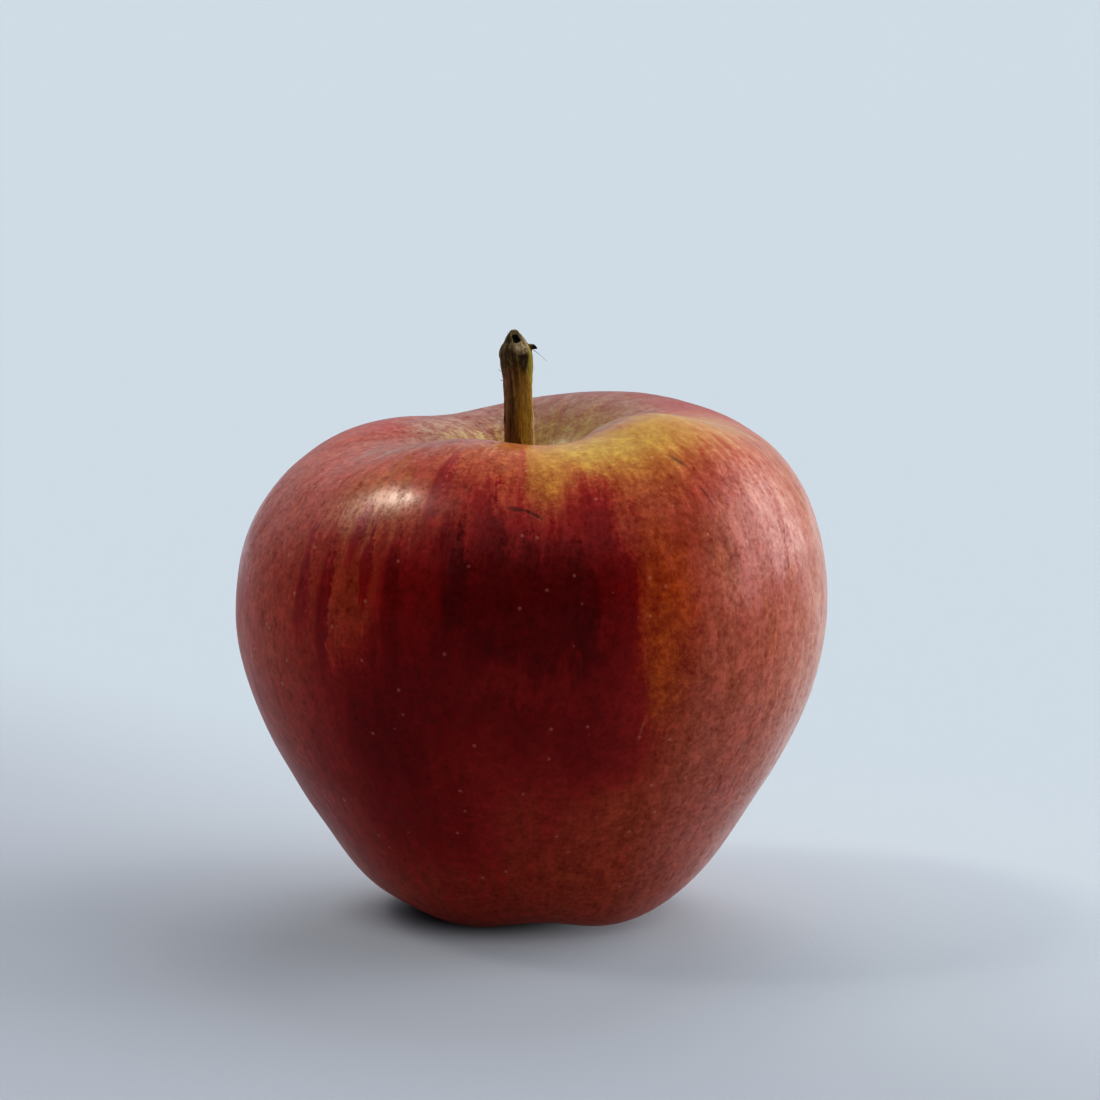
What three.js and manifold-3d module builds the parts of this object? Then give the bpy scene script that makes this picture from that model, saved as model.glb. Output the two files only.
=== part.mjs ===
// A ripe red apple with its stem and its dried flower end.
// Millimetres, +Z up. The fruit stands on z = 0, on five lobes round its flower end.
// An azimuth is an angle round the fruit: 0 at the front (-Y), growing to the right (+X).
import * as THREE from "three";
import { mergeVertices } from "three/addons/utils/BufferGeometryUtils.js";
import Module from "manifold-3d";

const { sin, cos, exp, floor, max, PI } = Math;
const { smoothstep, lerp, euclideanModulo } = THREE.MathUtils;
const TURN = 2 * PI;
const degrees = (angle) => (angle * PI) / 180;

// The fruit's outline, from the middle of the flower basin round the outside to the stem's socket.
// A reach is the length of a Bezier handle: how far the outline holds its direction at that place.
const BASIN = { height: 8.5, reachOut: 5.5 };
const FOOT = { radius: 10.2, reachIn: 4.5, reachOut: 4.3 };
const FLANK = { radius: 23.8, height: 8.6, slope: degrees(58.6), reachDown: 9.3, reachUp: 11.6 };
const BELLY = { radius: 35.9, height: 38.1, reachDown: 11.2, reachUp: 15.7 };
const RIM = { radius: 17.7, height: 59.8, reachOut: 8.8, reachIn: 7.7 };
const THROAT = { radius: 2.5, height: 48, lean: 1, reachUp: 6 };
const SOCKET_FLOOR = 45.5;
const OUTLINE_SECTIONS = ["basin", "foot", "flank", "shoulder", "cavity"];
const SECTION_STEPS = 9;
const ROUND_STEPS = 84;
const MERGE_DISTANCE = 1e-3;

// A grown fruit isn't round. A wave has `count` crests round the fruit, one of them at `crest`.
const BODY_RADIUS_WAVES = [
  { count: 1, size: 0.27, crest: degrees(105) },
  { count: 2, size: 0.16, crest: degrees(157) },
  { count: 3, size: 0.33, crest: degrees(46) },
];
const RIM_RADIUS_WAVES = [
  { count: 1, size: 0.6, crest: degrees(110) },
  { count: 2, size: 0.16, crest: degrees(159) },
];
const RIM_HEIGHT_WAVES = [
  { count: 1, size: 1.4, crest: degrees(118) },
  { count: 2, size: 0.3, crest: degrees(154) },
  { count: 3, size: 0.2, crest: degrees(15) },
  { count: 4, size: 0.5, crest: degrees(62) },
  { count: 5, size: 0.25, crest: degrees(40) },
];
const RIM_HUMP = { height: 1.5, azimuth: degrees(52), width: degrees(21) };
const LOBES = { count: 5, groove: 0.95, crest: degrees(41), fadeHeight: 22 };
const FLAT_SPOT_DEPTH = 0.15;

// The stem stands in its socket, leans to the left and ends in a swollen knob with one side bud.
// Its heights are above its foot.
const GAP = 0.3;
const STEM_FOOT = SOCKET_FLOOR - FLAT_SPOT_DEPTH + GAP;
const STEM_OUTLINE = [
  { radius: 0, height: 0 },
  { radius: 2.1, height: 0 },
  { radius: 2.1, height: 2.4 },
  { radius: 1.85, height: 5 },
  { radius: 1.75, height: 8 },
  { radius: 1.7, height: 11 },
  { radius: 1.7, height: 14 },
  { radius: 1.7, height: 17 },
  { radius: 1.85, height: 19 },
  { radius: 2, height: 21 },
  { radius: 2.15, height: 22.2 },
  { radius: 2.05, height: 23 },
  { radius: 1.4, height: 23.9 },
  { radius: 0.8, height: 24.8 },
  { radius: 0, height: 25.2 },
];
const STEM_LEAN = { x: -1.55, y: 0.2, from: 2.5, to: 12 };
const STEM_HOOK = { x: -0.55, y: -0.2, from: 18, to: 25.2 };
const STEM_ROUND_STEPS = 20;
const STEM_RIDGES = { count: 5, size: 0.05, crest: degrees(20) };
const SIDE_BUD = { radius: 0.45, x: 0.2, y: -0.3, height: 22.9, roundSteps: 10, downSteps: 6 };

// Five dried sepals close over the eye in the flower basin, and their tips curl outwards.
const SEPALS = { count: 5, thickness: 0.5, rootWidth: 2.5, tipWidth: 0.6, taper: 1.5 };
const SEPAL_ROOT = { radius: 3.2, height: 6 };
const SEPAL_BEND = { radius: 0.9, height: 3.9 };
const SEPAL_TIP = { radius: 3.8, height: 1.9 };
const SEPAL_STEPS = { across: 4, along: 8 };

// The dried stamens hang in one tuft in the middle of the eye.
const TUFT = { tipHeight: 4.6, waistHeight: 6, rootHeight: BASIN.height - FLAT_SPOT_DEPTH - 2 * GAP };
const TUFT_OUTLINE = [
  { radius: 0, height: TUFT.tipHeight },
  { radius: 1, height: TUFT.tipHeight },
  { radius: 0.7, height: TUFT.waistHeight },
  { radius: 1, height: TUFT.rootHeight },
  { radius: 0, height: TUFT.rootHeight },
];
const TUFT_RIDGES = { count: 6, size: 0.15, crest: 0 };
const TUFT_ROUND_STEPS = 24;

const SKIN = { color: 0x8a1f1a, roughness: 0.4, metalness: 0 };
const STEM_BARK = { color: 0x5c482f, roughness: 0.85, metalness: 0 };
const DRY_SEPAL = { color: 0x5f4c38, roughness: 0.9, metalness: 0 };
const DRY_STAMEN = { color: 0x35281d, roughness: 0.95, metalness: 0 };

const wasm = await Module();
wasm.setup();

const waveAt = (wave, azimuth) => wave.size * cos(wave.count * (azimuth - wave.crest));
const wavesAt = (waves, azimuth) => waves.reduce((sum, wave) => sum + waveAt(wave, azimuth), 0);

// How far the rim stands above its mean height.
function rimRise(azimuth) {
  const aside = euclideanModulo(azimuth - RIM_HUMP.azimuth + PI, TURN) - PI;
  return wavesAt(RIM_HEIGHT_WAVES, azimuth) + RIM_HUMP.height * exp(-((aside / RIM_HUMP.width) ** 2));
}

// How far the underside rises in the grooves between the lobes that the fruit stands on.
const grooveRise = (azimuth) => (LOBES.groove / 2) * (1 - cos(LOBES.count * (azimuth - LOBES.crest)));

// How much of the grooves, of the body's waves and of the rim's waves a point takes up, from 0 to 1.
function sharesAt(radius, height, section) {
  if (section === "basin") {
    const outwards = smoothstep(radius, 0, FOOT.radius);
    return { grooves: outwards, body: outwards, rim: 0 };
  }
  if (section === "cavity") {
    const body = smoothstep(radius, THROAT.radius, RIM.radius);
    return { grooves: 0, body, rim: smoothstep(height, THROAT.height, RIM.height) };
  }
  const grooves = 1 - smoothstep(height, 0, LOBES.fadeHeight);
  return { grooves, body: 1, rim: smoothstep(height, BELLY.height, RIM.height) };
}

function fruitOutline() {
  const slopeIn = cos(FLANK.slope);
  const slopeUp = sin(FLANK.slope);
  const path = new THREE.Path();
  path.moveTo(0, BASIN.height);
  path.bezierCurveTo(BASIN.reachOut, BASIN.height, FOOT.radius - FOOT.reachIn, 0, FOOT.radius, 0);
  path.bezierCurveTo(
    FOOT.radius + FOOT.reachOut, 0,
    FLANK.radius - FLANK.reachDown * slopeIn, FLANK.height - FLANK.reachDown * slopeUp,
    FLANK.radius, FLANK.height,
  );
  path.bezierCurveTo(
    FLANK.radius + FLANK.reachUp * slopeIn, FLANK.height + FLANK.reachUp * slopeUp,
    BELLY.radius, BELLY.height - BELLY.reachDown,
    BELLY.radius, BELLY.height,
  );
  path.bezierCurveTo(
    BELLY.radius, BELLY.height + BELLY.reachUp,
    RIM.radius + RIM.reachOut, RIM.height,
    RIM.radius, RIM.height,
  );
  path.bezierCurveTo(
    RIM.radius - RIM.reachIn, RIM.height,
    THROAT.radius + THROAT.lean, THROAT.height + THROAT.reachUp,
    THROAT.radius, THROAT.height,
  );
  path.lineTo(THROAT.radius, SOCKET_FLOOR);
  path.lineTo(0, SOCKET_FLOOR);
  return path.getPoints(SECTION_STEPS).map(({ x: radius, y: height }, i) => {
    const section = OUTLINE_SECTIONS[floor(i / SECTION_STEPS)] ?? OUTLINE_SECTIONS.at(-1);
    return { radius, height, ...sharesAt(radius, height, section) };
  });
}

// A body turned from an outline, each of its points then set by place(outline point, azimuth).
function turnedGeometry(outline, roundSteps, place) {
  const points = outline.map(({ radius, height }) => new THREE.Vector2(radius, height));
  const geometry = new THREE.LatheGeometry(points, roundSteps);
  const position = geometry.attributes.position;
  for (let i = 0; i < position.count; i++) {
    const azimuth = (floor(i / outline.length) / roundSteps) * TURN;
    const { radius, height, x = 0, y = 0 } = place(outline[i % outline.length], azimuth);
    position.setXYZ(i, x + radius * sin(azimuth), y - radius * cos(azimuth), height);
  }
  return geometry;
}

// A solid of a closed geometry: corners that meet become one, and faces with no area are dropped.
function toSolid(geometry) {
  geometry.deleteAttribute("normal");
  geometry.deleteAttribute("uv");
  const merged = mergeVertices(geometry, MERGE_DISTANCE);
  const triangles = [];
  for (let i = 0; i < merged.index.count; i += 3) {
    const [a, b, c] = merged.index.array.slice(i, i + 3);
    if (a !== b && b !== c && c !== a) triangles.push(a, b, c);
  }
  const vertProperties = merged.attributes.position.array;
  const triVerts = Uint32Array.from(triangles);
  return new wasm.Manifold(new wasm.Mesh({ numProp: 3, vertProperties, triVerts }));
}

function toGeometry(solid) {
  const { vertProperties, triVerts } = solid.getMesh();
  const geometry = new THREE.BufferGeometry();
  geometry.setAttribute("position", new THREE.BufferAttribute(vertProperties, 3));
  geometry.setIndex(new THREE.BufferAttribute(triVerts, 1));
  return geometry;
}

// The fruit is set a little into the ground and cut off there, which leaves a flat spot on each lobe.
function fruitGeometry() {
  const body = turnedGeometry(fruitOutline(), ROUND_STEPS, (point, azimuth) => {
    const swelling = point.body * wavesAt(BODY_RADIUS_WAVES, azimuth);
    const spread = point.rim * wavesAt(RIM_RADIUS_WAVES, azimuth);
    const rise = point.rim * rimRise(azimuth) + point.grooves * grooveRise(azimuth);
    return { radius: point.radius + swelling + spread, height: point.height + rise - FLAT_SPOT_DEPTH };
  });
  const groundWidth = 3 * BELLY.radius;
  const ground = new THREE.BoxGeometry(groundWidth, groundWidth, BASIN.height);
  ground.translate(0, 0, -BASIN.height / 2);
  return toGeometry(toSolid(body).subtract(toSolid(ground)));
}

// Where the stem's middle is at a height above its foot.
function stemMiddle(height) {
  const lean = smoothstep(height, STEM_LEAN.from, STEM_LEAN.to);
  const hook = max(0, (height - STEM_HOOK.from) / (STEM_HOOK.to - STEM_HOOK.from)) ** 2;
  return { x: lean * STEM_LEAN.x + hook * STEM_HOOK.x, y: lean * STEM_LEAN.y + hook * STEM_HOOK.y };
}

function stemGeometry() {
  const shaft = turnedGeometry(STEM_OUTLINE, STEM_ROUND_STEPS, ({ radius, height }, azimuth) => ({
    ...stemMiddle(height),
    radius: radius * (1 + waveAt(STEM_RIDGES, azimuth)),
    height: STEM_FOOT + height,
  }));
  const bud = new THREE.SphereGeometry(SIDE_BUD.radius, SIDE_BUD.roundSteps, SIDE_BUD.downSteps);
  bud.translate(SIDE_BUD.x, SIDE_BUD.y, STEM_FOOT + SIDE_BUD.height);
  return toGeometry(toSolid(shaft).add(toSolid(bud)));
}

// One sepal: a thin strip bent along its spine, and narrowed from its root to its tip.
function sepalGeometry(azimuth) {
  const strip = new THREE.BoxGeometry(1, 1, SEPALS.thickness, SEPAL_STEPS.across, SEPAL_STEPS.along);
  const spine = new THREE.QuadraticBezierCurve(
    new THREE.Vector2(SEPAL_ROOT.radius, SEPAL_ROOT.height),
    new THREE.Vector2(SEPAL_BEND.radius, SEPAL_BEND.height),
    new THREE.Vector2(SEPAL_TIP.radius, SEPAL_TIP.height),
  );
  const position = strip.attributes.position;
  for (let i = 0; i < position.count; i++) {
    const along = position.getY(i) + 0.5;
    const inwards = position.getZ(i);
    const across = position.getX(i) * lerp(SEPALS.rootWidth, SEPALS.tipWidth, along ** SEPALS.taper);
    const point = spine.getPoint(along);
    const tangent = spine.getTangent(along);
    const radius = point.x + inwards * tangent.y;
    const height = point.y - inwards * tangent.x;
    const x = radius * sin(azimuth) + across * cos(azimuth);
    const y = across * sin(azimuth) - radius * cos(azimuth);
    position.setXYZ(i, x, y, height);
  }
  return strip;
}

const tuftGeometry = () =>
  turnedGeometry(TUFT_OUTLINE, TUFT_ROUND_STEPS, ({ radius, height }, azimuth) => ({
    radius: radius * (1 + waveAt(TUFT_RIDGES, azimuth)),
    height,
  }));

const apple = new THREE.Group();

function addPiece(name, geometry, finish) {
  const piece = new THREE.Mesh(geometry, new THREE.MeshStandardMaterial(finish));
  piece.name = name;
  apple.add(piece);
}

addPiece("fruit", fruitGeometry(), SKIN);
addPiece("stem", stemGeometry(), STEM_BARK);
for (let i = 0; i < SEPALS.count; i++) {
  addPiece(`sepal_${i + 1}`, sepalGeometry((i / SEPALS.count) * TURN), DRY_SEPAL);
}
addPiece("dried_stamens", tuftGeometry(), DRY_STAMEN);

export default apple;
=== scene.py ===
# %% [markdown]
# A red apple, standing on its own base, with its stalk in a deep hollow at the top and the dried
# remains of its flower in a small basin underneath. The solid model gives every size. This script
# loads it as a fixed frame, and then makes the pieces that are looked at: the fruit with its
# streaked skin, the woody stalk, five curled sepals and a tuft of dried stamens.

import math

import bpy
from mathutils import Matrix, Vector


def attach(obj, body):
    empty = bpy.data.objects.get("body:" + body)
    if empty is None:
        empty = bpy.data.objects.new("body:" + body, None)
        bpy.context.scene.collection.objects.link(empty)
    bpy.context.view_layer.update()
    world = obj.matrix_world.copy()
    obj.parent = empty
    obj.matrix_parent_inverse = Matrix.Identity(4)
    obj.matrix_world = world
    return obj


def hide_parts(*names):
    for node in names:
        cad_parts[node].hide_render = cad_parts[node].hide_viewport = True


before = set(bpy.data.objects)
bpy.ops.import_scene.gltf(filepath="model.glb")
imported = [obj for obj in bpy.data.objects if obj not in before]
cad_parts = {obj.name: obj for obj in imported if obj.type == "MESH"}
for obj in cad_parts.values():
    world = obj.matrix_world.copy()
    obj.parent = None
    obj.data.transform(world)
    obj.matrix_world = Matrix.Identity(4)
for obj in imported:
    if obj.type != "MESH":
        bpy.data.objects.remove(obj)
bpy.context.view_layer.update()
MM = 0.001

# %% [markdown]
# Operators work on whatever is selected, as they do by hand. So the first helpers clear the
# selection, pick one piece, and pick faces or edges of it by where they are. Every piece is made
# in place, in metres, so that its object can stay at the origin.

# %% Helpers for selecting and for modifiers
def pick(piece):
    """Leaves one piece selected and active, and nothing else."""
    if bpy.context.object and bpy.context.object.mode != "OBJECT":
        bpy.ops.object.mode_set(mode="OBJECT")
    bpy.ops.object.select_all(action="DESELECT")
    piece.select_set(True)
    bpy.context.view_layer.objects.active = piece


def edit(piece, mode="VERT"):
    """Opens a piece for editing, with nothing in it selected."""
    pick(piece)
    bpy.ops.object.mode_set(mode="EDIT")
    bpy.ops.mesh.select_mode(type=mode)
    bpy.ops.mesh.select_all(action="DESELECT")


def choose_vertices(piece, test):
    """Selects the vertices whose place passes the test, and goes back to editing.

    It marks vertices only. An edge or a face that is still marked brings its vertices back, so
    what was chosen before must hold no whole edge, or must lie inside the new choice.
    """
    bpy.ops.object.mode_set(mode="OBJECT")
    for vertex in piece.data.vertices:
        vertex.select = test(vertex.co)
    bpy.ops.object.mode_set(mode="EDIT")


def choose_faces(piece, test):
    """Selects the faces whose centre and normal pass the test, and goes back to editing."""
    bpy.ops.object.mode_set(mode="OBJECT")
    for vertex in piece.data.vertices:
        vertex.select = False
    for side in piece.data.edges:
        side.select = False
    for face in piece.data.polygons:
        face.select = test(face.center, face.normal)
    bpy.ops.object.mode_set(mode="EDIT")
    return sum(face.select for face in piece.data.polygons)


def apply_modifier(piece, kind, **settings):
    """Adds one modifier, sets it and applies it."""
    pick(piece)
    modifier = piece.modifiers.new(kind.lower(), kind)
    for name, value in settings.items():
        setattr(modifier, name, value)
    bpy.ops.object.modifier_apply(modifier=modifier.name)


def settle(piece):
    """Moves a piece's place into its mesh, so that its object is at the origin, unturned."""
    pick(piece)
    bpy.ops.object.transform_apply(location=True, rotation=True, scale=True)


def close_up(piece, threshold):
    """Merges vertices that coincide and turns every face outwards."""
    edit(piece)
    bpy.ops.mesh.select_all(action="SELECT")
    bpy.ops.mesh.remove_doubles(threshold=threshold)
    bpy.ops.mesh.normals_make_consistent(inside=False)
    bpy.ops.object.mode_set(mode="OBJECT")


def measure(piece):
    """Prints how large a finished piece is and how many triangles it has."""
    corners = [vertex.co for vertex in piece.data.vertices]
    low = [min(c[i] for c in corners) / MM for i in range(3)]
    high = [max(c[i] for c in corners) / MM for i in range(3)]
    triangles = sum(len(face.vertices) - 2 for face in piece.data.polygons)
    spans = ", ".join(f"{a:.2f} to {b:.2f}" for a, b in zip(low, high))
    print(f"{piece.name}: x, y, z {spans} mm, {triangles} triangles")


# %% [markdown]
# The fruit's form is already right in the solid model, as loose triangles. A copy of it is merged
# into one closed skin, and Subdivision Surface rounds its facets. Then a very shallow, soft
# unevenness is pressed into it, because no real apple is as even as a turned shape: light that
# slides over it breaks up a little. The base is left out, so that the apple still stands.

# %% The fruit: copy, merge, round
fruit = bpy.data.objects.new("apple_fruit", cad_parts["fruit"].data.copy())
bpy.context.collection.objects.link(fruit)
fruit.data.materials.clear()
edit(fruit)
bpy.ops.mesh.customdata_custom_splitnormals_clear()
bpy.ops.mesh.select_all(action="SELECT")
bpy.ops.mesh.remove_doubles(threshold=0.01 * MM)
bpy.ops.mesh.tris_convert_to_quads(
    face_threshold=math.radians(40), shape_threshold=math.radians(60)
)
bpy.ops.object.mode_set(mode="OBJECT")
print("merged fruit:", len(fruit.data.vertices), "vertices,", len(fruit.data.polygons), "faces")
apply_modifier(fruit, "SUBSURF", levels=2, render_levels=2)

# %% The fruit: soft unevenness
UNEVEN_FADE_LOW, UNEVEN_FADE_HIGH = 4 * MM, 14 * MM
uneven = fruit.vertex_groups.new(name="uneven")
for vertex in fruit.data.vertices:
    share = (vertex.co.z - UNEVEN_FADE_LOW) / (UNEVEN_FADE_HIGH - UNEVEN_FADE_LOW)
    if share > 0:
        uneven.add([vertex.index], min(share, 1), "REPLACE")
waves = bpy.data.textures.new("skin_waves", "CLOUDS")
waves.noise_scale = 9 * MM
waves.noise_depth = 1
apply_modifier(
    fruit, "DISPLACE", texture=waves, texture_coords="LOCAL",
    strength=0.28 * MM, mid_level=0.5, vertex_group="uneven",
)
dimples = bpy.data.textures.new("skin_dimples", "CLOUDS")
dimples.noise_scale = 2.0 * MM
dimples.noise_depth = 1
apply_modifier(
    fruit, "DISPLACE", texture=dimples, texture_coords="LOCAL",
    strength=0.03 * MM, mid_level=0.5, vertex_group="uneven",
)
pick(fruit)
bpy.ops.object.shade_smooth()
measure(fruit)

# %% [markdown]
# The stalk is a short woody rod that swells into a bud-shaped knob, where the apple let go of its
# twig. By hand it is one ring of vertices, pushed a little into ridges and grooves, which is then
# extruded upwards again and again while each new ring is moved and scaled. The list below is the
# stalk's centre line and thickness, ring by ring. Its foot swells, and so it fills the socket.

# %% The stalk: one ring, pushed into ridges and grooves
STALK_RINGS = [  # height, centre x, centre y, half width in x, half width in y, in mm
    (45.8, 0.00, 0.00, 2.30, 2.30),
    (46.7, 0.00, 0.00, 2.55, 2.55),
    (47.7, -0.02, 0.00, 2.40, 2.40),
    (48.9, -0.10, 0.02, 2.08, 2.08),
    (50.4, -0.31, 0.05, 1.92, 1.92),
    (52.4, -0.68, 0.10, 1.87, 1.86),
    (54.4, -1.06, 0.15, 1.84, 1.82),
    (56.6, -1.34, 0.19, 1.83, 1.80),
    (58.8, -1.42, 0.20, 1.82, 1.78),
    (61.0, -1.45, 0.20, 1.78, 1.75),
    (62.8, -1.53, 0.20, 1.71, 1.72),
    (64.4, -1.57, 0.20, 1.74, 1.74),
    (65.7, -1.62, 0.18, 1.88, 1.82),
    (66.7, -1.69, 0.14, 1.99, 1.90),
    (67.6, -1.77, 0.10, 2.06, 1.94),
    (68.3, -1.81, 0.06, 1.94, 1.84),
    (69.0, -1.84, 0.03, 1.52, 1.60),
    (69.7, -1.90, 0.01, 1.08, 1.26),
    (70.3, -1.96, 0.00, 0.70, 0.92),
    (70.75, -2.05, 0.00, 0.34, 0.52),
]
RING_VERTICES = 24
RIDGES = [  # azimuth in degrees, and how far that line of the ring stands out, as a share
    (-90, 0.05), (-60, -0.03), (-30, -0.12), (0, 0.03), (30, -0.03), (60, 0.08),
    (105, -0.08), (135, 0.05), (165, -0.06), (-165, 0.05), (-120, -0.07),
]
HALF_STEP = 0.5 * 360 / RING_VERTICES


def near_azimuth(place, azimuth, reach):
    """Whether a place lies near an azimuth: 0 degrees is the front, and they grow to the right."""
    own = math.degrees(math.atan2(place.x, -place.y))
    return abs((own - azimuth + 180) % 360 - 180) <= reach


foot = STALK_RINGS[0]
foot_centre = (foot[1] * MM, foot[2] * MM, foot[0] * MM)
bpy.ops.object.select_all(action="DESELECT")
bpy.ops.mesh.primitive_circle_add(
    vertices=RING_VERTICES, radius=foot[3] * MM, fill_type="NGON", location=foot_centre
)
stalk = bpy.context.object
stalk.name = stalk.data.name = "apple_stem"
settle(stalk)
edit(stalk)
for azimuth, size in RIDGES:
    choose_vertices(stalk, lambda place: near_azimuth(place, azimuth, HALF_STEP))
    bpy.ops.transform.resize(value=(1 + size, 1 + size, 1), center_override=foot_centre)

# %% The stalk: extruded ring by ring
choose_vertices(stalk, lambda place: True)
for below, ring in zip(STALK_RINGS, STALK_RINGS[1:]):
    lift = [(ring[i] - below[i]) * MM for i in (1, 2, 0)]
    bpy.ops.mesh.extrude_region_move(TRANSFORM_OT_translate={"value": lift})
    centre = (ring[1] * MM, ring[2] * MM, ring[0] * MM)
    spread = (ring[3] / below[3], ring[4] / below[4], 1)
    bpy.ops.transform.resize(value=spread, center_override=centre)
close_up(stalk, 0.001 * MM)
print("stalk rings:", len(STALK_RINGS), "faces:", len(stalk.data.polygons))

# %% [markdown]
# The knob's tip is where the stalk broke away from its twig. A plane cuts the tip off at a slant,
# which leaves a flat scar. Extruding its face in place and scaling it makes the scar's rim and a
# slot in its middle, which is pushed inwards. A pit and a bud are made from single faces.

# %% The stalk: scar, slot, pit and bud
SCAR_POINT = Vector((-1.80, -0.66, 70.0)) * MM
SCAR_FACING = Vector((0.24, -0.80, 0.55)).normalized()
TIP_HEIGHT, TIP_MERGE = 68.5 * MM, 0.10 * MM
edit(stalk)
choose_vertices(stalk, lambda place: place.z > TIP_HEIGHT)
bpy.ops.mesh.remove_doubles(threshold=TIP_MERGE)
bpy.ops.mesh.select_all(action="SELECT")
bpy.ops.mesh.bisect(
    plane_co=SCAR_POINT, plane_no=SCAR_FACING, use_fill=True, clear_outer=True, threshold=1e-7
)
choose_vertices(stalk, lambda place: abs((place - SCAR_POINT).dot(SCAR_FACING)) < 0.01 * MM)
bpy.ops.mesh.remove_doubles(threshold=TIP_MERGE)


def step_in(scale, depth, centre):
    """Extrudes the chosen faces inwards by a depth and scales them about a centre."""
    bpy.ops.mesh.extrude_region_move(TRANSFORM_OT_translate={"value": -SCAR_FACING * depth})
    bpy.ops.transform.resize(value=scale, center_override=centre)


found = choose_faces(stalk, lambda centre, normal: (
    normal.dot(SCAR_FACING) > 0.98 and abs((centre - SCAR_POINT).dot(SCAR_FACING)) < 0.05 * MM
))
SLOT_PLACE = Vector((-1.96, -0.78, 69.75)) * MM
step_in((0.86, 0.86, 0.86), 0.02 * MM, SLOT_PLACE)
step_in((0.78, 0.78, 0.62), 0.07 * MM, SLOT_PLACE)
step_in((0.90, 0.90, 0.70), 0.05 * MM, SLOT_PLACE)
step_in((0.85, 0.85, 0.80), 0.40 * MM, SLOT_PLACE)
print("scar faces:", found)


def nearest_face(piece, place, facing):
    """Selects the one face nearest to a place, of those that look the given way."""
    bpy.ops.object.mode_set(mode="OBJECT")
    looks = [f for f in piece.data.polygons if f.normal.dot(facing) > 0.4]
    best = min(looks, key=lambda f: (f.center - place).length).index
    choose_faces(piece, lambda centre, normal: (
        (centre - piece.data.polygons[best].center).length < 1e-7
    ))


PIT = Vector((-0.84, -1.5, 68.55)) * MM
nearest_face(stalk, PIT, Vector((0.4, -0.9, 0)).normalized())
bpy.ops.mesh.inset(thickness=0.10 * MM, depth=0.03 * MM)
bpy.ops.mesh.inset(thickness=0.05 * MM, depth=-0.35 * MM)

BUD_ROOT = Vector((-0.05, -0.3, 68.7)) * MM
nearest_face(stalk, BUD_ROOT, Vector((1, -0.1, 0)).normalized())
BUD_STEPS = [  # how far the bud grows, in mm, and how much thinner it gets
    ((0.34, -0.02, 0.02), 0.9),
    ((0.26, 0.0, 0.0), 0.95),
    ((0.20, 0.0, -0.04), 0.75),
]
for growth, thinner in BUD_STEPS:
    push = Vector(growth) * MM
    bpy.ops.mesh.extrude_region_move(TRANSFORM_OT_translate={"value": push})
    bpy.ops.object.mode_set(mode="OBJECT")
    chosen = [f for f in stalk.data.polygons if f.select]
    middle = sum((f.center for f in chosen), Vector()) / len(chosen)
    bpy.ops.object.mode_set(mode="EDIT")
    bpy.ops.transform.resize(value=(1, thinner, thinner), center_override=middle)
bpy.ops.object.mode_set(mode="OBJECT")

# %% The stalk: rounding, bark and fine fibres
apply_modifier(stalk, "SUBSURF", levels=2, render_levels=2)
bark_lumps = bpy.data.textures.new("bark_lumps", "CLOUDS")
bark_lumps.noise_scale = 0.9 * MM
bark_lumps.noise_depth = 2
apply_modifier(
    stalk, "DISPLACE", texture=bark_lumps, texture_coords="LOCAL", strength=0.21 * MM, mid_level=0.5
)
FIBRES = [  # points that a fibre follows, in mm
    [(0.25, -0.4, 68.35), (0.72, -0.5, 68.0), (1.35, -0.52, 67.45), (1.9, -0.5, 66.95)],
    [(-3.3, -0.3, 65.6), (-3.62, -0.4, 65.75), (-3.9, -0.42, 65.95)],
    [(-3.35, -0.2, 64.6), (-3.6, -0.3, 64.62), (-3.78, -0.3, 64.8)],
    [(-2.5, -0.6, 69.9), (-2.8, -0.75, 70.25), (-2.75, -0.85, 70.6)],
]
FIBRE_HALF_WIDTH = 0.028 * MM
FIBRE_TAPER = 0.8
for points in FIBRES:
    start = Vector(points[0]) * MM
    bpy.ops.object.select_all(action="DESELECT")
    bpy.ops.mesh.primitive_circle_add(
        vertices=5, radius=FIBRE_HALF_WIDTH, fill_type="NGON", location=start
    )
    fibre = bpy.context.object
    along = (Vector(points[1]) - Vector(points[0])).normalized()
    fibre.rotation_euler = along.to_track_quat("Z", "Y").to_euler()
    settle(fibre)
    edit(fibre)
    bpy.ops.mesh.select_all(action="SELECT")
    for here, there in zip(points, points[1:]):
        step = (Vector(there) - Vector(here)) * MM
        bpy.ops.mesh.extrude_region_move(TRANSFORM_OT_translate={"value": step})
        bpy.ops.transform.resize(value=(FIBRE_TAPER,) * 3, center_override=Vector(there) * MM)
    bpy.ops.object.mode_set(mode="OBJECT")
    close_up(fibre, 1e-9)
    stalk.select_set(True)
    bpy.context.view_layer.objects.active = stalk
    bpy.ops.object.join()
pick(stalk)
bpy.ops.object.shade_smooth()
measure(stalk)

# %% [markdown]
# Underneath, five dried sepals close over the eye of the apple and curl outwards at their tips.
# A real sepal is a thin leaf. This one is coarser: a small patch is extruded whole along a bent
# line and narrows on the way, which gives a closed prism as deep as the patch. Solidify turns its
# skin into a wall. It is then copied round the axis, each copy a little different, and neighbours
# cut slightly into each other. Extruding only one edge of the patch would give a thin leaf.

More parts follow.
